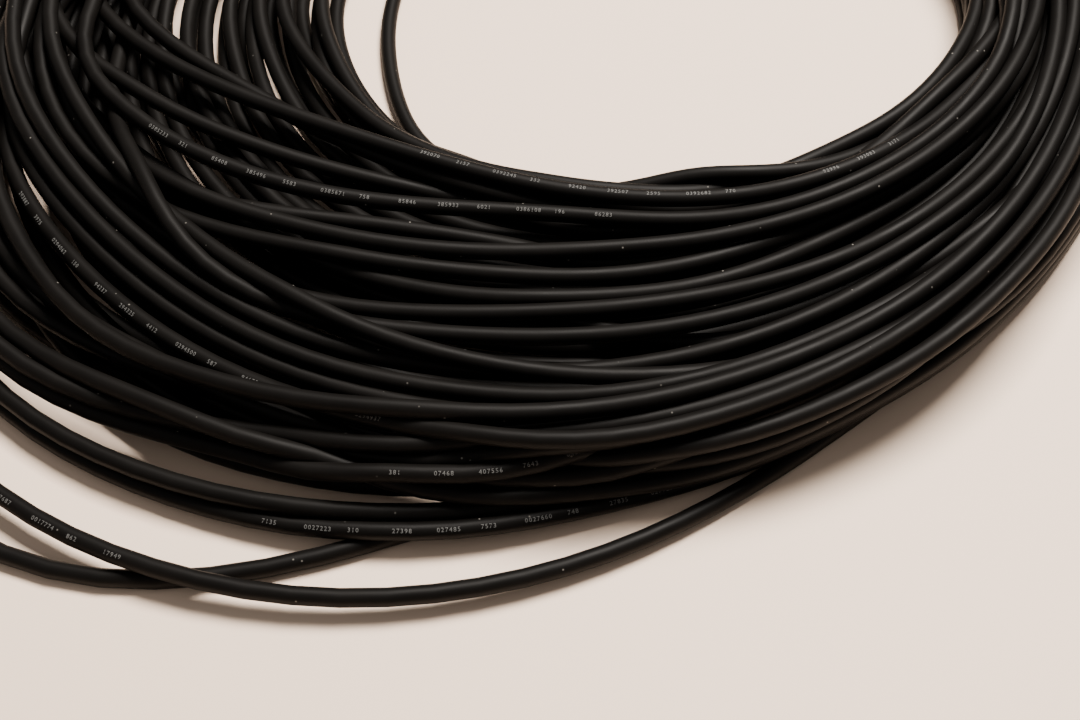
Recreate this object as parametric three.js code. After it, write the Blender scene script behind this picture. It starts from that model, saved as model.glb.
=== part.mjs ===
// A coil of thin black coaxial cable, laid loosely on a flat surface.
// Millimetres, +Z up. The coil lies on z = 0 and the origin is under the middle of its box.
// Angles are in degrees about the middle of the bore: 0 is +X, -90 is the near side.
import * as THREE from "three";

// The cable
const CABLE_DIAMETER = 5.5;
const SEAT_GAP = 0.3; // between a loose turn's end and the coil that it comes out of
const TUBE_SIDES = 10;

// The bore, which lies off the middle of the turns
const BORE_RADIUS = 103;
const BORE_OFFSET = 9;
const BORE_OFFSET_ANGLE = 50;

// The outer edge: tight on the right, fanned out on the left
const TIGHT_OUTER_RADIUS = 177;
const FAN_WIDTH = 65;
const FAN_ANGLE = -150;
const FAN_SHARPNESS = 3; // how soon the fanned turns draw together again

// The height, greatest where the turns are tight and least opposite, where they are spread out
const TIGHT_HEIGHT = 41;
const SPREAD_DROP = 17;
const HIGH_ANGLE = 60;

// The turns that show on the two ends
const SURFACE_TURNS = 15;
const RIDGE_HALF_ANGLE = 60;
const FLOOR_TURNS = 6;
const FLOOR_GROOVE_WIDTH = 2.4;
const FLOOR_GROOVE_DEPTH = 1.2;
const SEGMENTS_ROUND = 56;

// Heights of a loose turn's centre line
const ON_FLOOR = CABLE_DIAMETER / 2;
const ON_ONE_TURN = ON_FLOOR + CABLE_DIAMETER + SEAT_GAP;
const ON_TWO_TURNS = ON_FLOOR + 2 * CABLE_DIAMETER;

// Routes of the loose turns, chosen by hand: angle, way clear of the coil's wall, height
const FRONT_ROUTE = [
  [-79, SEAT_GAP, ON_FLOOR],
  [-84, 4, ON_FLOOR],
  [-91, 12, ON_FLOOR],
  [-98, 19, ON_FLOOR],
  [-105, 25.5, 4],
  [-112, 30.5, 7.2],
  [-119, 33.5, ON_ONE_TURN],
  [-132, 36, ON_ONE_TURN],
  [-145, 38, ON_ONE_TURN],
  [-160, 41, ON_ONE_TURN],
  [-172, 43, ON_ONE_TURN],
  [-184, 44, 5],
  [-196, 43, ON_FLOOR],
  [-208, 38, ON_FLOOR],
  [-220, 30, ON_FLOOR],
  [-234, 18, ON_FLOOR],
  [-247, 6, ON_FLOOR],
  [-255, SEAT_GAP, ON_FLOOR],
];
const LOW_ROUTE = [
  [-109, SEAT_GAP, ON_FLOOR],
  [-112, 11, ON_FLOOR],
  [-116, 26, ON_FLOOR],
  [-121, 38, ON_FLOOR],
  [-127, 54, ON_FLOOR],
  [-136, 59, ON_FLOOR],
  [-147, 55, ON_FLOOR],
  [-158, 47, ON_FLOOR],
  [-169, 36, ON_FLOOR],
  [-180, 22, ON_FLOOR],
  [-190, 9, ON_FLOOR],
  [-197, SEAT_GAP, ON_FLOOR],
];
const OUTER_ROUTE = [
  [-87, SEAT_GAP, ON_TWO_TURNS],
  [-93, 2.4, ON_TWO_TURNS],
  [-101, 6.4, ON_TWO_TURNS],
  [-109, 11, ON_TWO_TURNS],
  [-118, 13.5, ON_TWO_TURNS],
  [-128, 16, ON_TWO_TURNS],
  [-138, 18, 12.5],
  [-150, 19, 11],
  [-165, 20, 10],
  [-180, 19.5, 9.5],
  [-192, 17.5, 9],
  [-205, 12, 5],
  [-215, 5.5, ON_FLOOR],
  [-223, SEAT_GAP, ON_FLOOR],
];
const INNER_ROUTE = [
  [-138, SEAT_GAP, ON_FLOOR],
  [-143, 1, ON_FLOOR],
  [-149, 2.5, ON_FLOOR],
  [-157, 5, ON_FLOOR],
  [-167, 8, ON_FLOOR],
  [-177, 10.5, ON_FLOOR],
  [-188, 12, ON_FLOOR],
  [-198, 11, ON_FLOOR],
  [-208, 7.5, ON_FLOOR],
  [-218, 3.5, ON_FLOOR],
  [-226, 1, ON_FLOOR],
  [-231, SEAT_GAP, ON_FLOOR],
];
const FRONT_STEPS = 30;
const LOW_STEPS = 17;
const OUTER_STEPS = 20;
const INNER_STEPS = 11;

const CABLE_RADIUS = CABLE_DIAMETER / 2;
const radians = THREE.MathUtils.degToRad;

const jacket = () => new THREE.MeshStandardMaterial({ color: 0x0d0d0e, roughness: 0.5, metalness: 0 });

// 1 in the middle of the fan, falling smoothly to 0 opposite it
const fan = (angle) => ((1 + Math.cos(angle - radians(FAN_ANGLE))) / 2) ** FAN_SHARPNESS;
const boreRadius = (angle) => BORE_RADIUS + BORE_OFFSET * Math.cos(angle - radians(BORE_OFFSET_ANGLE));
const outerRadius = (angle) => TIGHT_OUTER_RADIUS + FAN_WIDTH * fan(angle);
const heightShare = (angle) =>
  1 - ((SPREAD_DROP / TIGHT_HEIGHT) * (1 - Math.cos(angle - radians(HIGH_ANGLE)))) / 2;

// The coil's section where it is tight, from the bore (x = 0) to the outer edge, as a closed outline.
// Turns that show are ridges set evenly along a half ellipse that stands on the floor.
function sectionOutline() {
  const width = TIGHT_OUTER_RADIUS - BORE_RADIUS;
  const middle = width / 2;
  const crest = new THREE.EllipseCurve(
    middle,
    CABLE_RADIUS,
    middle - CABLE_RADIUS,
    TIGHT_HEIGHT - CABLE_DIAMETER,
    0,
    Math.PI,
  );
  const outline = [];
  const half = radians(RIDGE_HALF_ANGLE);
  crest.getSpacedPoints(SURFACE_TURNS - 1).forEach((centre, i) => {
    const tangent = crest.getTangentAt(i / (SURFACE_TURNS - 1));
    const outward = Math.atan2(-tangent.x, tangent.y);
    for (const turn of [-half, 0, half]) {
      const x = centre.x + CABLE_RADIUS * Math.cos(outward + turn);
      const y = centre.y + CABLE_RADIUS * Math.sin(outward + turn);
      outline.push(new THREE.Vector2(x, y));
    }
  });
  const floorWidth = width - CABLE_DIAMETER;
  outline.push(new THREE.Vector2(CABLE_RADIUS, 0));
  for (let i = 1; i < FLOOR_TURNS; i++) {
    const x = CABLE_RADIUS + (floorWidth * i) / FLOOR_TURNS;
    outline.push(new THREE.Vector2(x - FLOOR_GROOVE_WIDTH / 2, 0));
    outline.push(new THREE.Vector2(x, FLOOR_GROOVE_DEPTH));
    outline.push(new THREE.Vector2(x + FLOOR_GROOVE_WIDTH / 2, 0));
  }
  outline.push(new THREE.Vector2(width - CABLE_RADIUS, 0));
  outline.push(outline[0].clone());
  return outline;
}

// The wound turns as one turned solid with its bore, then drawn out round the ring:
// each point keeps its share of the way from the bore to the outer edge, and its share of the height.
function makeCoil() {
  const width = TIGHT_OUTER_RADIUS - BORE_RADIUS;
  const profile = sectionOutline().map((p) => new THREE.Vector2(BORE_RADIUS + p.x, p.y));
  const geometry = new THREE.LatheGeometry(profile, SEGMENTS_ROUND);
  geometry.rotateX(Math.PI / 2);
  const position = geometry.getAttribute("position");
  for (let i = 0; i < position.count; i++) {
    const angle = Math.atan2(position.getY(i), position.getX(i));
    const share = (Math.hypot(position.getX(i), position.getY(i)) - BORE_RADIUS) / width;
    const radius = boreRadius(angle) + share * (outerRadius(angle) - boreRadius(angle));
    position.setXYZ(
      i,
      radius * Math.cos(angle),
      radius * Math.sin(angle),
      position.getZ(i) * heightShare(angle),
    );
  }
  const mesh = new THREE.Mesh(geometry, jacket());
  mesh.name = "cable_coil";
  return mesh;
}

// A loose turn's centre line, which never comes lower than a cable lying on the floor
class LooseRoute extends THREE.CatmullRomCurve3 {
  getPoint(t, target) {
    const point = super.getPoint(t, target);
    point.z = Math.max(point.z, ON_FLOOR);
    return point;
  }
}

// A turn that has left the coil: a round tube along its route, outside the coil or in its bore.
function makeLooseTurn(name, route, steps, inBore) {
  const points = route.map(([degrees, clear, height]) => {
    const angle = radians(degrees);
    const away = clear + CABLE_RADIUS;
    const radius = inBore ? boreRadius(angle) - away : outerRadius(angle) + away;
    return new THREE.Vector3(radius * Math.cos(angle), radius * Math.sin(angle), height);
  });
  const path = new LooseRoute(points, false, "centripetal");
  const section = new THREE.Shape();
  for (let i = 0; i < TUBE_SIDES; i++) {
    const around = (2 * Math.PI * i) / TUBE_SIDES;
    const x = CABLE_RADIUS * Math.cos(around);
    const y = CABLE_RADIUS * Math.sin(around);
    if (i === 0) section.moveTo(x, y);
    else section.lineTo(x, y);
  }
  section.closePath();
  const geometry = new THREE.ExtrudeGeometry(section, { steps, bevelEnabled: false, extrudePath: path });
  const mesh = new THREE.Mesh(geometry, jacket());
  mesh.name = name;
  return mesh;
}

const coil = new THREE.Group();
coil.add(makeCoil());
coil.add(makeLooseTurn("loose_turn_front", FRONT_ROUTE, FRONT_STEPS, false));
coil.add(makeLooseTurn("loose_turn_low", LOW_ROUTE, LOW_STEPS, false));
coil.add(makeLooseTurn("loose_turn_outer", OUTER_ROUTE, OUTER_STEPS, false));
coil.add(makeLooseTurn("loose_turn_inner", INNER_ROUTE, INNER_STEPS, true));

// The origin goes under the middle of the whole coil
const box = new THREE.Box3().setFromObject(coil);
const middle = box.getCenter(new THREE.Vector3());
coil.position.set(-middle.x, -middle.y, 0);

const model = new THREE.Group();
model.add(coil);
export default model;
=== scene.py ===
"""A coil of thin black coaxial cable, laid loosely on a pale floor.

Metres, +Z up. The coil lies on z = 0. Angles are in degrees about the middle of the bore:
0 is +X, -90 is the near side. Working lengths inside the functions are in millimetres.
"""

import math

import bpy
import numpy as np
from bpy.props import FloatProperty, FloatVectorProperty, IntProperty, PointerProperty
from bpy.types import Operator, Panel, PropertyGroup
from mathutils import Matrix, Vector


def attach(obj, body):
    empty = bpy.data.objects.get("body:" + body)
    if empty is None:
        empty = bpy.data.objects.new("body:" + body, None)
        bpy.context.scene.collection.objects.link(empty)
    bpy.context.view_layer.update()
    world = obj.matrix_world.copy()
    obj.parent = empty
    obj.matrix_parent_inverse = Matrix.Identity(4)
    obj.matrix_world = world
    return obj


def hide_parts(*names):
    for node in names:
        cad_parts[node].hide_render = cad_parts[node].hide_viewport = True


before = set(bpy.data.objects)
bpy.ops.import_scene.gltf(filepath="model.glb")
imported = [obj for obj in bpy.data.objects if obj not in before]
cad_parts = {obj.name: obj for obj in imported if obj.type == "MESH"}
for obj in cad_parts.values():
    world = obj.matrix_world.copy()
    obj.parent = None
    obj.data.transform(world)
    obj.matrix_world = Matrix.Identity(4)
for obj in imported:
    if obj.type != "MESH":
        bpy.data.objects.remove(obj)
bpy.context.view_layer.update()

bl_info = {
    "name": "Cable coil",
    "version": (1, 0, 0),
    "blender": (4, 5, 0),
    "location": "3D View > Sidebar > Cable coil",
    "description": "Winds a loose coil of thin black cable and lays it on a pale floor",
    "category": "Object",
}

MM = 0.001

# The camera, as the photograph has it
PHOTO_WIDTH = 1080
PHOTO_HEIGHT = 720
FOCAL_PIXELS = 1700.0
SENSOR_WIDTH = 22.3
CAMERA_TILT = 52.976
CAMERA_HEIGHT = 422.4
CAMERA_FROM_BORE = (-30.0, -470.0)

# The bore's middle in the row frame, about which the source lays out the coil
BORE_MIDDLE = (52.0, 30.7)

# The winding
TURNS = 60
STATIONS = 128
SIDES = 12
FIRST_ANGLE = 90.0
PACKING = 1.1
LAYERS = (13, 12, 12, 10, 8, 5)
LAYER_INSET = (0.0, 0.03, 0.07, 0.13, 0.21, 0.30)
CABLE_RADIUS = 2.75
LOWEST_ROWS = 15
MIXED_TURNS = 8
MIXED_ROWS = 12
HIDDEN_PER_LAYER = 11
BEHIND = (130, 410)
BEHIND_HALF_WIDTH = 6

# How firmly a turn is held to its lane, and how many degrees that reaches past its last point
SEEN_HOLD = 0.34
BEHIND_HOLD = 0.03
HIDDEN_HOLD = 0.01
REACH_AT_FRAME = 22
REACH_UNDER_OTHERS = 6
FRAME_LEFT = 41
FRAME_RIGHT = 1044
FRAME_TOP = 33

# Settling, a step: how far the turns sink in millimetres, what share of an overlap they clear,
# and when they stop sinking
SINK = 0.1
CLEARING = 0.8
STOPS_SINKING = 0.4
LANES_EVERY = 30

# Each turn that shows, from the lowest to the highest, by points (x, y) in pixels of the photograph.
# They weren't all chosen by hand. Many of the y values, mostly at every 50th column, are those of bright
# ridges that a separate program listed from the photograph, and the ridges were sorted into turns.
# The rows gap and fan_low, and the first points of mid_0 to mid_4, were placed one by one.
# A turn that goes under others and comes out again has two rows of points.
SEEN_TURNS = [
    ("inner_floor", (
        ((393.5, 5), (391, 60), (396, 90), (417, 140), (440, 160), (480, 180), (530, 200),
         (620, 215), (720, 215)),
    )),
    ("front_under", (
        ((0, 578), (40, 587), (80, 591), (120, 592), (170, 588), (230, 578), (300, 560), (355, 543),
         (450, 515), (550, 488), (650, 462), (750, 425), (850, 385), (950, 330)),
    )),
    ("front", (
        ((0, 500), (58, 535), (140, 569), (200, 584), (250, 594), (330, 602), (430, 597), (530, 578),
         (630, 545), (720, 501), (800, 452), (850, 417), (900, 377), (950, 338), (1000, 303), (1050, 262)),
    )),
    ("edge_print", (
        ((0, 414), (50, 445), (100, 469), (150, 489), (200, 506), (250, 518), (300, 527), (350, 532),
         (400, 534), (450, 532), (500, 525), (550, 516), (600, 504), (650, 492), (700, 478),
         (750, 462), (800, 442), (850, 412)),
    )),
    ("edge_inner", (
        ((0, 403), (50, 434), (100, 457), (150, 476), (200, 491), (250, 502), (300, 510), (350, 515),
         (400, 517), (450, 514), (550, 496), (650, 472), (750, 440), (850, 392)),
    )),
    # The rows gap and fan_low follow no turn of the photograph: they fill dark places where none stands out
    ("gap_4", (
        ((128, 0), (131, 40), (140, 90), (165, 150), (205, 200)),
    )),
    ("gap_5", (
        ((160, 0), (165, 40), (178, 90), (205, 140), (245, 180)),
    )),
    ("gap_1", (
        ((240, 0), (247, 40), (260, 90), (280, 130)),
    )),
    ("gap_2", (
        ((265, 0), (275, 45), (295, 95), (320, 135)),
    )),
    ("gap_3", (
        ((297, 0), (312, 50), (335, 95), (360, 130)),
    )),
    ("fan_low_0", (
        ((75, 0), (80, 60), (100, 120), (140, 180), (200, 240)),
    )),
    ("fan_low_4", (
        ((40, 0), (48, 70), (75, 140), (115, 200), (165, 250)),
    )),
    ("fan_low_1", (
        ((0, 235), (50, 272), (100, 310), (150, 344), (200, 371), (250, 391)),
    )),
    ("fan_low_2", (
        ((0, 285), (50, 311), (100, 334), (150, 357), (200, 379)),
    )),
    ("fan_low_3", (
        ((0, 318), (50, 340), (100, 363), (150, 384), (200, 400)),
    )),
    ("pile_foot", (
        ((150, 440), (200, 452), (250, 465), (300, 477), (350, 485), (400, 487), (450, 485)),
    )),
    ("bore_left_1", (
        ((337, 0), (338, 40), (350, 75), (370, 107), (395, 135)),
        ((850, 158), (900, 115), (950, 65), (985, 10)),
    )),
    ("bore_left_2", (
        ((318, 0), (330, 40), (352, 85), (380, 123)),
        ((930, 103), (955, 75), (985, 35)),
    )),
    ("bore_left_3", (
        ((275, 0), (300, 45), (325, 75), (350, 100), (372, 122)),
    )),
    ("left_4", (
        ((252, 0), (262, 25), (270, 45), (282, 80), (292, 100)),
    )),
    ("left_5", (
        ((225, 0), (232, 40), (243, 70)),
    )),
    ("left_6", (
        ((206, 0), (205, 30), (208, 55)),
    )),
    ("left_7", (
        ((189, 0), (187, 40)),
    )),
    ("left_8", (
        ((158, 0), (170, 30)),
    )),
    ("foot_under", (
        ((0, 340), (50, 362), (100, 383), (150, 400), (190, 412)),
        ((450, 497), (500, 497), (550, 494), (600, 489), (650, 483), (700, 474)),
    )),
    ("left_end_1", (
        ((0, 205), (25, 250), (50, 290), (75, 322), (95, 341)),
    )),
    ("left_end_2", (
        ((0, 262), (25, 285), (50, 300), (75, 312), (100, 325), (125, 340), (165, 362)),
        ((600, 470), (650, 468), (700, 460), (750, 447), (800, 428), (850, 402)),
    )),
    ("foot_3", (
        ((0, 368), (50, 388), (100, 402), (150, 413), (200, 423), (250, 430), (300, 438), (350, 446),
         (385, 452)),
    )),
    ("dusty", (
        ((0, 160), (50, 228), (100, 285), (150, 326), (200, 358), (250, 382), (300, 399), (350, 411),
         (400, 421), (450, 430), (500, 438), (550, 444), (600, 447)),
    )),
    ("foot_2", (
        ((0, 300), (50, 325), (100, 347), (150, 367), (200, 384), (250, 401), (300, 414), (350, 425),
         (400, 435), (450, 443), (500, 451), (550, 457), (600, 459), (650, 456), (700, 448),
         (750, 436), (800, 417), (850, 392), (900, 369)),
    )),
    ("mid_2", (
        ((32, 70), (62, 125), (110, 172), (160, 202), (230, 226), (265, 234), (300, 243), (350, 258),
         (400, 273), (450, 285), (500, 295), (520, 299)),
        ((700, 344), (750, 341), (800, 328), (850, 304), (900, 277), (950, 248), (1000, 212),
         (1050, 168)),
    )),
    ("mid_0", (
        ((38, 20), (65, 80), (100, 125), (125, 142), (150, 163), (175, 180), (200, 192), (225, 198)),
        ((700, 286), (750, 271), (800, 250), (850, 226), (900, 200), (950, 165), (1000, 112)),
    )),
    ("mid_1", (
        ((35, 45), (62, 100), (100, 150), (125, 175), (150, 190), (175, 199), (200, 204), (250, 208),
         (300, 211), (350, 216), (400, 223), (450, 232), (500, 240), (525, 246)),
        ((600, 268), (650, 262), (700, 251), (750, 237), (800, 220), (850, 198), (900, 172),
         (950, 136), (1000, 84)),
    )),
    ("mid_4", (
        ((32, 75), (60, 125), (110, 185), (180, 218), (300, 243), (400, 262), (450, 268), (500, 272),
         (550, 276), (600, 277), (650, 271), (700, 262), (750, 247), (800, 229), (850, 207),
         (900, 181), (950, 148), (1000, 97)),
    )),
    ("mid_3", (
        ((35, 55), (80, 130), (130, 172), (200, 197), (250, 210), (300, 224), (350, 236), (400, 244),
         (450, 249), (500, 251), (550, 250), (600, 247), (650, 244), (700, 240), (750, 230)),
    )),
    ("mid_5", (
        ((0, 30), (25, 75), (50, 115), (75, 150), (100, 181), (150, 222), (200, 255), (250, 285),
         (300, 301), (350, 307), (400, 310), (450, 311), (500, 311), (550, 309), (600, 306),
         (650, 302), (700, 296), (750, 285), (800, 272), (850, 254), (900, 229), (950, 194),
         (1000, 146)),
    )),
    ("mid_6", (
        ((200, 275), (250, 298), (300, 314), (350, 323), (400, 329), (450, 332), (500, 335),
         (550, 336), (600, 335), (650, 330), (700, 322), (750, 310), (800, 294), (850, 273),
         (900, 247), (950, 213), (1000, 173)),
    )),
    ("fan_1", (
        ((0, 55), (50, 135), (100, 203), (150, 244), (200, 285), (250, 313), (300, 337), (350, 353),
         (400, 362), (450, 368)),
    )),
    ("fan_2", (
        ((0, 85), (50, 165), (100, 225), (150, 270), (200, 308), (250, 337), (300, 360), (350, 374),
         (400, 382), (450, 389), (500, 395), (550, 398), (600, 399)),
    )),
    ("top_0", (
        ((100, 0), (150, 29), (187, 50), (225, 75), (250, 87), (290, 103)),
        ((360, 146), (400, 163), (450, 180), (480, 190)),
    )),
    ("top_2", (
        ((22, 0), (50, 33), (75, 52), (100, 68), (150, 99), (200, 121), (250, 141), (300, 157),
         (350, 171), (400, 183), (450, 194), (500, 201)),
    )),
    ("top_3", (
        ((60, 55), (100, 93), (125, 112), (150, 130), (200, 155), (250, 174), (300, 188), (350, 196),
         (400, 202), (450, 205), (500, 208), (550, 211), (600, 215), (650, 219), (700, 220),
         (750, 214), (800, 203), (850, 183), (900, 158), (950, 122), (1000, 61)),
    )),
    ("bore_edge", (
        ((65, 0), (100, 22), (150, 49), (200, 75), (250, 95), (300, 113), (350, 131), (400, 148),
         (450, 163), (500, 176), (550, 187), (600, 194), (650, 198), (700, 198), (750, 194),
         (800, 184), (850, 167), (900, 141), (950, 100), (1000, 32)),
    )),
    ("bright_2", (
        ((0, 120), (50, 192), (100, 251), (150, 295), (200, 329), (250, 356), (300, 376), (350, 390),
         (400, 401), (450, 409), (500, 415), (550, 417), (600, 416), (650, 412), (700, 405),
         (750, 395), (800, 381), (850, 363), (900, 342), (950, 316), (1000, 284), (1050, 242)),
    )),
    ("foot_1", (
        ((0, 382), (50, 398), (100, 414), (150, 427), (200, 440), (250, 453), (300, 465), (350, 472),
         (400, 475), (450, 472), (500, 466), (550, 457), (600, 448), (650, 438), (700, 427),
         (750, 413), (800, 396), (850, 376), (900, 355), (950, 329), (1000, 298)),
    )),
    ("bright_1", (
        ((38, 25), (50, 53), (75, 95), (100, 135), (125, 166), (150, 194), (175, 217), (200, 237),
         (250, 273), (300, 301), (350, 325), (400, 343), (450, 356), (500, 366), (550, 373),
         (600, 377), (650, 377), (700, 373), (750, 366), (800, 356), (850, 339), (900, 318),
         (950, 293), (1000, 260), (1050, 214)),
    )),
]

# The printed stretches: the turn, its first and last pixel across the photograph, and degrees round it
PRINTS = (
    ("bore_edge", 415, 745, 84),
    ("bore_edge", 825, 900, 84),
    ("top_3", 140, 620, 66),
    ("dusty", 10, 385, 62),
    ("foot_1", 385, 700, 62),
    ("edge_print", 265, 680, 60),
    ("front", 5, 130, 62),
)
PRINT_HEIGHT = 1.3
PRINT_SPACING = 12.5
PRINT_DIGITS = (6, 4, 7, 3, 5)
PRINT_COUNT_PER_MM = 7
CAPITAL_SHARE = 0.7
INK_ABOVE = 0.00004
INK_BELOW = 0.00012


class CableValues(PropertyGroup):
    """Sizes and colours of the cable."""

    diameter: FloatProperty(
        name="Diameter", description="Outside diameter of the cable's jacket", default=0.0055, unit="LENGTH"
    )
    jacket_colour: FloatVectorProperty(
        name="Jacket", description="Colour of the jacket", default=(0.0027, 0.0024, 0.0022), subtype="COLOR"
    )
    dust_colour: FloatVectorProperty(
        name="Dust", description="Colour of the fine dust", default=(0.17, 0.16, 0.145), subtype="COLOR"
    )
    ink_colour: FloatVectorProperty(
        name="Ink", description="Colour of the printed numbers", default=(0.17, 0.17, 0.165), subtype="COLOR"
    )
    settling_steps: IntProperty(
        name="Settling steps", description="How long the turns settle on each other", default=400
    )


class StageValues(PropertyGroup):
    """The floor and the lights."""

    floor_colour: FloatVectorProperty(
        name="Floor", description="Colour of the pale floor", default=(0.97, 0.76, 0.60), subtype="COLOR"
    )
    key_power: FloatProperty(name="Key light", description="Power of the large light behind", default=103.0)
    fill_power: FloatProperty(name="Fill light", description="Power of the light from the left", default=1.2)


def cosine(degrees):
    return np.cos(np.radians(degrees))


def bore_wall(angle):
    """Radius of the bore: 101, 11 more towards 35 degrees, 7 longer than across, 6 more at two bulges."""
    bulges = ((1 + cosine(angle + 148)) / 2) ** 12 + ((1 + cosine(angle - 5)) / 2) ** 12
    return 101 + 11 * cosine(angle - 35) + 7 * cosine(2 * angle - 15) + 6 * bulges


def outer_edge(angle):
    """Radius of the outer edge: 177 where it is tight, 65 more in the middle of the fan at -150 degrees."""
    return 177 + 65 * ((1 + cosine(angle + 150)) / 2) ** 3


def station_angles():
    return FIRST_ANGLE + 360.0 * np.arange(STATIONS) / STATIONS


def seen_from_above(points, height):
    """Where the camera's rays through the photograph's points cross a height, as angle and radius."""
    tilt = math.radians(CAMERA_TILT)
    across = (points[:, 0] - PHOTO_WIDTH / 2) / FOCAL_PIXELS
    down = (points[:, 1] - PHOTO_HEIGHT / 2) / FOCAL_PIXELS
    ahead = math.cos(tilt) - down * math.sin(tilt)
    fall = math.sin(tilt) + down * math.cos(tilt)
    reach = (CAMERA_HEIGHT - height) / fall
    x = across * reach + CAMERA_FROM_BORE[0]
    y = ahead * reach + CAMERA_FROM_BORE[1]
    angle = np.degrees(np.arctan2(y, x))
    return np.where(angle < FIRST_ANGLE, angle + 360, angle), np.hypot(x, y)


def winding_order():
    """Which turn each row of SEEN_TURNS is: the lowest first, then the hidden turns and the others mixed."""
    hidden = TURNS - len(SEEN_TURNS)
    rest = len(SEEN_TURNS) - LOWEST_ROWS
    first = LOWEST_ROWS + hidden - MIXED_TURNS
    spread = [first + k + round(MIXED_TURNS * min(1.0, k / MIXED_ROWS)) for k in range(rest)]
    return list(range(LOWEST_ROWS)) + spread


def hidden_shares(count):
    """Places of the hidden turns from the bore (0) to the outer edge (1), layer by layer, out and back."""
    shares = []
    for layer in range(-(-count // HIDDEN_PER_LAYER)):
        places = np.linspace(0.03 + 0.02 * layer, 0.96 - 0.03 * layer, HIDDEN_PER_LAYER)
        shares.extend(places if layer % 2 == 0 else places[::-1])
    return shares[:count]


def back_shares(near_shares):
    """Where the turns lie behind, in layers from the floor up, each in the order of the near side."""
    shares = np.zeros(TURNS)
    first = 0
    for count, inset in zip(LAYERS, LAYER_INSET):
        members = np.arange(first, first + count)
        ranked = members[np.argsort(near_shares[members])]
        shares[ranked] = np.linspace(inset, 1 - inset, count)
        first += count
    return shares


def lanes(height):
    """The radius that each turn aims for at each station, and how firmly it is held there.

    A seen turn's points are carried back to the height at which it lies. Behind, the turns lie in layers,
    and between the two a turn moves evenly over.
    """
    angles = station_angles()
    inner = bore_wall(angles) + CABLE_RADIUS
    room = outer_edge(angles) - CABLE_RADIUS - inner
    share = np.full((TURNS, STATIONS), np.nan)
    hold = np.full((TURNS, STATIONS), HIDDEN_HOLD)
    seen = winding_order()
    near = (angles > 190) & (angles < 350)
    others = [t for t in range(TURNS) if t not in seen]
    for turn, place in zip(others, hidden_shares(len(others))):
        share[turn, near] = place
    for turn, (_, rows) in zip(seen, SEEN_TURNS):
        for row in rows:
            points = np.array(row, float)
            lies = np.full(len(points), 8.0)
            for _ in range(5):
                angle, radius = seen_from_above(points, lies)
                lies = np.interp(angle, angles, height[turn])
            order = np.argsort(angle)
            angle = angle[order]
            radius = radius[order]
            ends = points[order][[0, -1]]
            at_frame = (ends[:, 0] < FRAME_LEFT) | (ends[:, 0] > FRAME_RIGHT) | (ends[:, 1] < FRAME_TOP)
            before, past = np.where(at_frame, REACH_AT_FRAME, REACH_UNDER_OTHERS)
            here = (angles >= angle[0] - before) & (angles <= angle[-1] + past)
            at = np.clip(angles[here], angle[0], angle[-1])
            place = np.interp(at, angle, radius) - np.interp(at, angles, inner)
            place = place / np.interp(at, angles, room)
            for _ in range(4):
                place[1:-1] = (place[:-2] + 2 * place[1:-1] + place[2:]) / 4
            share[turn, here] = place
            fade = np.maximum((angle[0] - angles) / before, (angles - angle[-1]) / past)[here]
            hold[turn, here] = SEEN_HOLD * np.clip(1 - fade, 0.05, 1)
    behind = np.any([np.abs(angles - middle) < BEHIND_HALF_WIDTH for middle in BEHIND], axis=0)
    placed = back_shares(np.nanmean(share, axis=1))
    share[:, behind] = placed[:, None]
    hold[:, behind] = BEHIND_HOLD
    flat = share.ravel()
    known = ~np.isnan(flat)
    steps = np.arange(flat.size)
    share = np.interp(steps, steps[known], flat[known]).reshape(share.shape)
    return inner + share * room, hold


def along(values, weight):
    """Moves each point of the winding towards the middle of its two neighbours on the cable."""
    flat = values.ravel()
    middle = flat.copy()
    middle[1:-1] = (flat[:-2] + flat[2:]) / 2
    return (flat + weight * (middle - flat)).reshape(values.shape)


def laid_down(radius, diameter):
    """Heights when the turns are laid one after another, each resting on those before it.

    A turn rests at the height where its circle touches the circles under it, and then spans the dips
    as a stiff cable does: the lowest smooth line that is nowhere under those heights.
    """
    height = np.zeros_like(radius)
    for turn in range(TURNS):
        rest = np.full(STATIONS, diameter / 2)
        if turn:
            apart = np.abs(radius[:turn] - radius[turn])
            lift = np.sqrt(np.maximum(diameter**2 - apart**2, 0))
            rest = np.maximum(rest, np.where(apart < diameter, height[:turn] + lift, 0).max(0))
        line = rest.copy()
        for _ in range(12):
            line = np.maximum(rest, (np.roll(line, 1) + np.roll(line, -1)) / 2)
        height[turn] = line
    return height


def mounded(height, radius, diameter):
    """Keeps heights under a half ellipse over each section that has room for all the turns."""
    inner = bore_wall(station_angles())
    width = outer_edge(station_angles()) - inner
    share = np.clip((radius - inner) / width, 0.02, 0.98)
    peak = TURNS * PACKING * diameter**2 / (np.pi / 4 * width)
    return np.minimum(height, diameter / 2 + peak * np.sqrt(1 - (2 * share - 1) ** 2))


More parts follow.
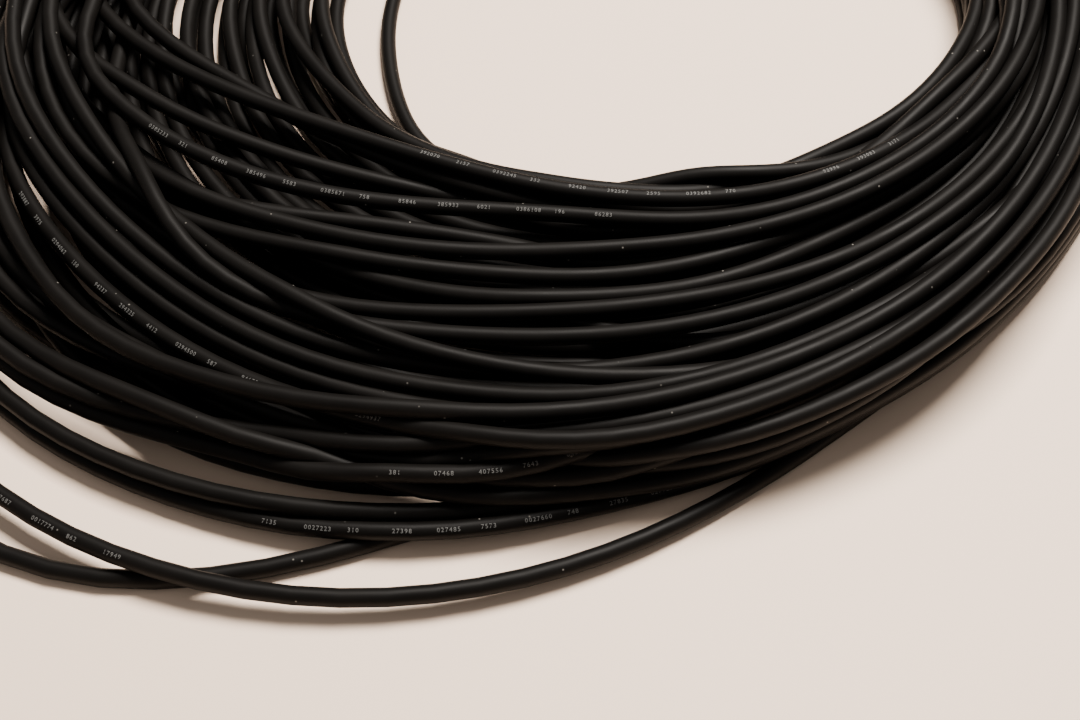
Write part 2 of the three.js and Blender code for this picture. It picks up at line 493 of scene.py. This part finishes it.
def settled(diameter, steps):
    """The winding's radius and height at every station, in millimetres.

    The turns are laid down in order, and then settle together: each is drawn to its lane, sinks, keeps
    its own line smooth, and is pushed away from every turn that it runs into. A few overlaps are left.
    """
    lane, hold = lanes(np.linspace(3, 27, TURNS)[:, None] * np.ones(STATIONS))
    lane, hold = lanes(mounded(laid_down(lane, diameter), lane, diameter))
    radius = lane.copy()
    height = mounded(laid_down(radius, diameter), radius, diameter)
    turn_angle = math.radians(360.0 / STATIONS)
    inner = bore_wall(station_angles()) + diameter / 2
    outer = outer_edge(station_angles()) - diameter / 2
    for step in range(steps):
        if step % LANES_EVERY == 20:
            lane, hold = lanes(height)
        late = step > STOPS_SINKING * steps
        radius = along(along(radius, 0.5), 0.5)
        height = along(along(height, 0.6), 0.6)
        radius = radius + hold * (0.5 if late else 1.0) * (lane - radius)
        radius = np.clip(radius, np.minimum(inner, lane), np.maximum(outer, lane))
        height = height - (0.0 if late else SINK)
        slope = np.gradient(radius, axis=1) / (radius * turn_angle)
        lean = 1 / np.sqrt(1 + ((slope[:, None] + slope[None]) / 2) ** 2)
        across = (radius[:, None] - radius[None]) * lean
        over = height[:, None] - height[None]
        gap = np.sqrt(across**2 + over**2) + 1e-6
        push = np.where(gap < diameter, diameter - gap, 0) / gap
        push[np.arange(TURNS), np.arange(TURNS)] = 0
        ease = CLEARING / np.maximum((push > 0).sum(1), 1) ** 0.5
        radius = radius + (push * across).sum(1) * ease
        height = np.maximum(height + (push * over).sum(1) * ease, diameter / 2)
    radius = along(radius, 0.5)
    height = along(height, 0.5)
    return radius, np.maximum(height, diameter / 2)


def winding_line(radius, height):
    """The cable's centre line in metres, from end to end: one turn after another round the bore."""
    angle = np.radians(np.tile(station_angles(), TURNS))
    flat = radius.ravel()
    x = BORE_MIDDLE[0] + flat * np.cos(angle)
    y = BORE_MIDDLE[1] + flat * np.sin(angle)
    return np.stack([x, y, height.ravel()], axis=1) * MM


def frames_along(line):
    """Side and up directions at each point: level across the line, and square to both the line and that."""
    ahead = np.gradient(line, axis=0)
    ahead /= np.linalg.norm(ahead, axis=1)[:, None]
    side = np.cross(ahead, (0.0, 0.0, 1.0))
    side /= np.linalg.norm(side, axis=1)[:, None]
    return side, np.cross(side, ahead)


def length_along(line):
    return np.concatenate([[0.0], np.cumsum(np.linalg.norm(np.diff(line, axis=0), axis=1))])


def put_mesh(name, vertices, faces, uvs=None, smooth=True):
    """Makes a mesh object from arrays of points, of faces and, if given, of one UV pair for each corner."""
    mesh = bpy.data.meshes.new(name)
    mesh.from_pydata(vertices.tolist(), [], faces)
    if uvs is not None:
        layer = mesh.uv_layers.new(name="along_and_round")
        layer.data.foreach_set("uv", np.asarray(uvs, np.float32).ravel())
    if smooth:
        mesh.polygons.foreach_set("use_smooth", np.ones(len(mesh.polygons), bool))
    mesh.update()
    made = bpy.data.objects.new(name, mesh)
    bpy.context.scene.collection.objects.link(made)
    return made


def tube(name, line, diameter, sides):
    """A round tube on a grid: ring point = centre + r * (cos(t) * side + sin(t) * up), with flat cut ends.

    UV is metres along the cable and metres round it, so that a pattern keeps its size.
    """
    side, up = frames_along(line)
    turn = 2 * np.pi * np.arange(sides) / sides
    ring = np.cos(turn)[None, :, None] * side[:, None] + np.sin(turn)[None, :, None] * up[:, None]
    points = line[:, None] + diameter / 2 * ring
    rows = len(line)
    vertices = np.concatenate([points.reshape(-1, 3), line[:1], line[-1:]])
    row = np.arange(rows - 1)[:, None] * sides
    here = np.arange(sides)[None]
    after = (here + 1) % sides
    quads = np.stack([row + here, row + sides + here, row + sides + after, row + after], axis=-1)
    quads = quads.reshape(-1, 4)
    first = np.full(sides, rows * sides)
    last = first + 1
    start = np.stack([first, here[0], after[0]], axis=-1)
    end = np.stack([last, (rows - 1) * sides + after[0], (rows - 1) * sides + here[0]], axis=-1)
    faces = quads.tolist() + start.tolist() + end.tolist()
    far = length_along(line)
    u0 = np.repeat(far[:-1], sides)
    u1 = np.repeat(far[1:], sides)
    step = np.pi * diameter / sides
    v0 = np.tile(here[0] * step, rows - 1)
    v1 = v0 + step
    quad_uv = np.stack([u0, v0, u1, v0, u1, v1, u0, v1], axis=-1).reshape(-1, 2)
    uvs = np.concatenate([quad_uv, np.zeros((sides * 6, 2))])
    return put_mesh(name, vertices, faces, uvs)


def nodes_of(material):
    material.use_nodes = True
    tree = material.node_tree
    shader = next(n for n in tree.nodes if n.type == "BSDF_PRINCIPLED")
    return tree, shader


def jacket_material(values):
    """Black jacket: soft gloss with fine grain, a cloudy wear, and fine pale dust on it."""
    material = bpy.data.materials.new("cable_jacket")
    tree, shader = nodes_of(material)
    link = tree.links.new
    place = tree.nodes.new("ShaderNodeTexCoord")
    cloud = tree.nodes.new("ShaderNodeTexNoise")
    cloud.inputs["Scale"].default_value = 60.0
    cloud.inputs["Detail"].default_value = 4.0
    grain = tree.nodes.new("ShaderNodeTexNoise")
    grain.inputs["Scale"].default_value = 2200.0
    grain.inputs["Detail"].default_value = 2.0
    dust = tree.nodes.new("ShaderNodeTexVoronoi")
    dust.inputs["Scale"].default_value = 420.0
    for texture in (cloud, grain, dust):
        link(place.outputs["Object"], texture.inputs["Vector"])
    speck = tree.nodes.new("ShaderNodeMapRange")
    speck.inputs["From Min"].default_value = 0.16
    speck.inputs["From Max"].default_value = 0.05
    link(dust.outputs["Distance"], speck.inputs["Value"])
    rare = tree.nodes.new("ShaderNodeMapRange")
    rare.inputs["From Min"].default_value = 0.955
    rare.inputs["From Max"].default_value = 0.97
    split = tree.nodes.new("ShaderNodeSeparateColor")
    link(dust.outputs["Color"], split.inputs["Color"])
    link(split.outputs["Red"], rare.inputs["Value"])
    both = tree.nodes.new("ShaderNodeMath")
    both.operation = "MULTIPLY"
    link(speck.outputs["Result"], both.inputs[0])
    link(rare.outputs["Result"], both.inputs[1])
    worn = tree.nodes.new("ShaderNodeMix")
    worn.data_type = "RGBA"
    dark = tuple(values.jacket_colour)
    worn.inputs["A"].default_value = (*dark, 1)
    worn.inputs["B"].default_value = (dark[0] * 1.9, dark[1] * 1.85, dark[2] * 1.75, 1)
    link(cloud.outputs["Fac"], worn.inputs["Factor"])
    dusty = tree.nodes.new("ShaderNodeMix")
    dusty.data_type = "RGBA"
    dusty.inputs["B"].default_value = (*values.dust_colour, 1)
    link(both.outputs["Value"], dusty.inputs["Factor"])
    link(worn.outputs["Result"], dusty.inputs["A"])
    link(dusty.outputs["Result"], shader.inputs["Base Color"])
    rough = tree.nodes.new("ShaderNodeMapRange")
    rough.inputs["From Min"].default_value = 0.3
    rough.inputs["From Max"].default_value = 0.7
    rough.inputs["To Min"].default_value = 0.46
    rough.inputs["To Max"].default_value = 0.56
    link(cloud.outputs["Fac"], rough.inputs["Value"])
    link(rough.outputs["Result"], shader.inputs["Roughness"])
    bump = tree.nodes.new("ShaderNodeBump")
    bump.inputs["Strength"].default_value = 0.10
    bump.inputs["Distance"].default_value = 0.0002
    link(grain.outputs["Fac"], bump.inputs["Height"])
    link(bump.outputs["Normal"], shader.inputs["Normal"])
    shader.inputs["IOR"].default_value = 1.45
    shader.inputs["Specular IOR Level"].default_value = 0.11
    return material


def ink_material(values):
    """Grey-white ink, a little worn away in spots."""
    material = bpy.data.materials.new("jacket_ink")
    tree, shader = nodes_of(material)
    link = tree.links.new
    place = tree.nodes.new("ShaderNodeTexCoord")
    worn = tree.nodes.new("ShaderNodeTexNoise")
    worn.inputs["Scale"].default_value = 900.0
    link(place.outputs["Object"], worn.inputs["Vector"])
    mix = tree.nodes.new("ShaderNodeMix")
    mix.data_type = "RGBA"
    pale = tuple(values.ink_colour)
    mix.inputs["A"].default_value = (*[c * 0.35 for c in pale], 1)
    mix.inputs["B"].default_value = (*pale, 1)
    link(worn.outputs["Fac"], mix.inputs["Factor"])
    link(mix.outputs["Result"], shader.inputs["Base Color"])
    shader.inputs["Roughness"].default_value = 0.55
    shader.inputs["Specular IOR Level"].default_value = 0.2
    return material


def flat_number(text, height):
    """A number as a thin closed mesh lying flat: its points, with the left end at x = 0, and its faces."""
    curve = bpy.data.curves.new("number", "FONT")
    curve.body = text
    curve.size = height / CAPITAL_SHARE
    curve.extrude = 0.5
    curve.space_character = 1.25
    curve.resolution_u = 2
    shown = bpy.data.objects.new("number", curve)
    mesh = bpy.data.meshes.new_from_object(shown)
    points = np.empty(len(mesh.vertices) * 3)
    mesh.vertices.foreach_get("co", points)
    points = points.reshape(-1, 3)
    faces = [list(polygon.vertices) for polygon in mesh.polygons]
    bpy.data.objects.remove(shown)
    bpy.data.curves.remove(curve)
    bpy.data.meshes.remove(mesh)
    points[:, 0] -= points[:, 0].min()
    points[:, 1] -= height / 2
    return points, faces


def printed_places(radius, height):
    """Where each number starts, as metres along the cable, and how far round the jacket it faces.

    The prints' ends are read off the photograph on the turn that carries them.
    """
    seen = dict(zip([name for name, _ in SEEN_TURNS], winding_order()))
    far = length_along(winding_line(radius, height))
    angles = station_angles()
    places = []
    for name, first, last, facing in PRINTS:
        turn = seen[name]
        row = np.array([point for part in dict(SEEN_TURNS)[name] for point in part], float)
        row = row[np.argsort(row[:, 0])]
        ends = np.array([(x, np.interp(x, row[:, 0], row[:, 1])) for x in (first, last)])
        angle, _ = seen_from_above(ends, height[turn].mean())
        start, stop = np.interp(angle, angles, far[turn * STATIONS : (turn + 1) * STATIONS])
        for place in np.arange(start, stop, PRINT_SPACING * MM):
            places.append((place, facing))
    return places


def wrapped_numbers(line, places, diameter):
    """The numbers laid on the jacket: x runs along the cable, y round it, and z out from its middle."""
    side, up = frames_along(line)
    far = length_along(line)
    vertices = []
    faces = []
    count = 0
    for i, (place, facing) in enumerate(places):
        digits = PRINT_DIGITS[i % len(PRINT_DIGITS)]
        count_there = round(place / MM * PRINT_COUNT_PER_MM) % 10**digits
        flat, shape = flat_number(f"{count_there:0{digits}d}", PRINT_HEIGHT)
        along_cable = place + flat[:, 0] * MM
        round_cable = math.radians(facing) + flat[:, 1] / (diameter / MM / 2)
        out = diameter / 2 + np.where(flat[:, 2] > 0, INK_ABOVE, -INK_BELOW)
        middle = np.stack([np.interp(along_cable, far, line[:, k]) for k in range(3)], axis=1)
        level = np.stack([np.interp(along_cable, far, side[:, k]) for k in range(3)], axis=1)
        above = np.stack([np.interp(along_cable, far, up[:, k]) for k in range(3)], axis=1)
        reach = np.cos(round_cable)[:, None] * level + np.sin(round_cable)[:, None] * above
        vertices.append(middle + out[:, None] * reach)
        faces.extend([[corner + count for corner in face] for face in shape])
        count += len(flat)
    return put_mesh("metre_numbers", np.concatenate(vertices), faces, smooth=False)


def floor_material(values):
    """Pale matt floor with a very faint unevenness."""
    material = bpy.data.materials.new("pale_floor")
    tree, shader = nodes_of(material)
    link = tree.links.new
    place = tree.nodes.new("ShaderNodeTexCoord")
    cloud = tree.nodes.new("ShaderNodeTexNoise")
    cloud.inputs["Scale"].default_value = 3.0
    link(place.outputs["Object"], cloud.inputs["Vector"])
    mix = tree.nodes.new("ShaderNodeMix")
    mix.data_type = "RGBA"
    pale = tuple(values.floor_colour)
    mix.inputs["A"].default_value = (*[c * 0.985 for c in pale], 1)
    mix.inputs["B"].default_value = (*pale, 1)
    link(cloud.outputs["Fac"], mix.inputs["Factor"])
    link(mix.outputs["Result"], shader.inputs["Base Color"])
    shader.inputs["Roughness"].default_value = 0.6
    return material


def area_light(name, place, aim, size, power, colour):
    data = bpy.data.lights.new(name, "AREA")
    data.shape = "RECTANGLE"
    data.size = size[0]
    data.size_y = size[1]
    data.energy = power
    data.color = colour
    light = bpy.data.objects.new(name, data)
    light.location = place
    light.rotation_euler = (Vector(aim) - Vector(place)).to_track_quat("-Z", "Y").to_euler()
    bpy.context.scene.collection.objects.link(light)
    return light


class MakeCamera(Operator):
    """Sets the camera where the photograph was taken from"""

    bl_idname = "cable_coil.make_camera"
    bl_label = "Camera"

    def execute(self, context):
        data = bpy.data.cameras.new("photo_camera")
        data.sensor_width = SENSOR_WIDTH
        data.lens = FOCAL_PIXELS / PHOTO_WIDTH * SENSOR_WIDTH
        data.clip_start = 0.01
        camera = bpy.data.objects.new("photo_camera", data)
        camera.location = (
            (BORE_MIDDLE[0] + CAMERA_FROM_BORE[0]) * MM,
            (BORE_MIDDLE[1] + CAMERA_FROM_BORE[1]) * MM,
            CAMERA_HEIGHT * MM,
        )
        camera.rotation_euler = (math.radians(90 - CAMERA_TILT), 0, 0)
        context.scene.collection.objects.link(camera)
        context.scene.camera = camera
        return {"FINISHED"}


class MakeCable(Operator):
    """Winds the cable into its coil and lays its loose turns on the floor"""

    bl_idname = "cable_coil.make_cable"
    bl_label = "Cable"

    def execute(self, context):
        values = context.scene.coil_cable
        radius, height = settled(values.diameter / MM, values.settling_steps)
        line = winding_line(radius, height)
        cable = tube("coax_cable", line, values.diameter, SIDES)
        cable.data.materials.append(jacket_material(values))
        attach(cable, "root")
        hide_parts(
            "cable_coil", "loose_turn_front", "loose_turn_low", "loose_turn_outer", "loose_turn_inner"
        )
        numbers = wrapped_numbers(line, printed_places(radius, height), values.diameter)
        numbers.data.materials.append(ink_material(values))
        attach(numbers, "root")
        return {"FINISHED"}


class MakeStage(Operator):
    """Lays the pale floor and sets the soft lights"""

    bl_idname = "cable_coil.make_stage"
    bl_label = "Floor and lights"

    def execute(self, context):
        values = context.scene.coil_stage
        corners = np.array([(-3, -3, 0), (3, -3, 0), (3, 3, 0), (-3, 3, 0)], float)
        ground = put_mesh("floor", corners, [[0, 1, 2, 3]], smooth=False)
        ground.data.materials.append(floor_material(values))
        middle = (BORE_MIDDLE[0] * MM, BORE_MIDDLE[1] * MM, 0.02)
        area_light("key_light", (0.45, 0.60, 1.60), middle, (0.8, 0.6), values.key_power, (1.0, 0.93, 0.86))
        area_light("fill_light", (-0.9, -0.4, 1.0), middle, (1.2, 1.2), values.fill_power, (1.0, 0.95, 0.90))
        world = bpy.data.worlds.new("studio")
        world.use_nodes = True
        world.node_tree.nodes["Background"].inputs["Color"].default_value = (1.0, 0.94, 0.89, 1)
        world.node_tree.nodes["Background"].inputs["Strength"].default_value = 0.22
        context.scene.world = world
        return {"FINISHED"}


class CoilPanel(Panel):
    """Lists what makes the coil, with its sizes and colours"""

    bl_idname = "VIEW3D_PT_cable_coil"
    bl_label = "Cable coil"
    bl_space_type = "VIEW_3D"
    bl_region_type = "UI"
    bl_category = "Cable coil"

    def draw(self, context):
        layout = self.layout
        for group in (context.scene.coil_cable, context.scene.coil_stage):
            for name in group.__annotations__:
                layout.prop(group, name)
        for operator in OPERATORS:
            layout.operator(operator.bl_idname)


OPERATORS = (MakeCamera, MakeCable, MakeStage)
CLASSES = (CableValues, StageValues, *OPERATORS, CoilPanel)


def register():
    for item in CLASSES:
        bpy.utils.register_class(item)
    bpy.types.Scene.coil_cable = PointerProperty(type=CableValues)
    bpy.types.Scene.coil_stage = PointerProperty(type=StageValues)


def unregister():
    del bpy.types.Scene.coil_stage
    del bpy.types.Scene.coil_cable
    for item in reversed(CLASSES):
        bpy.utils.unregister_class(item)


def main():
    register()
    bpy.ops.cable_coil.make_camera()
    bpy.ops.cable_coil.make_cable()
    bpy.ops.cable_coil.make_stage()


if __name__ == "__main__":
    main()
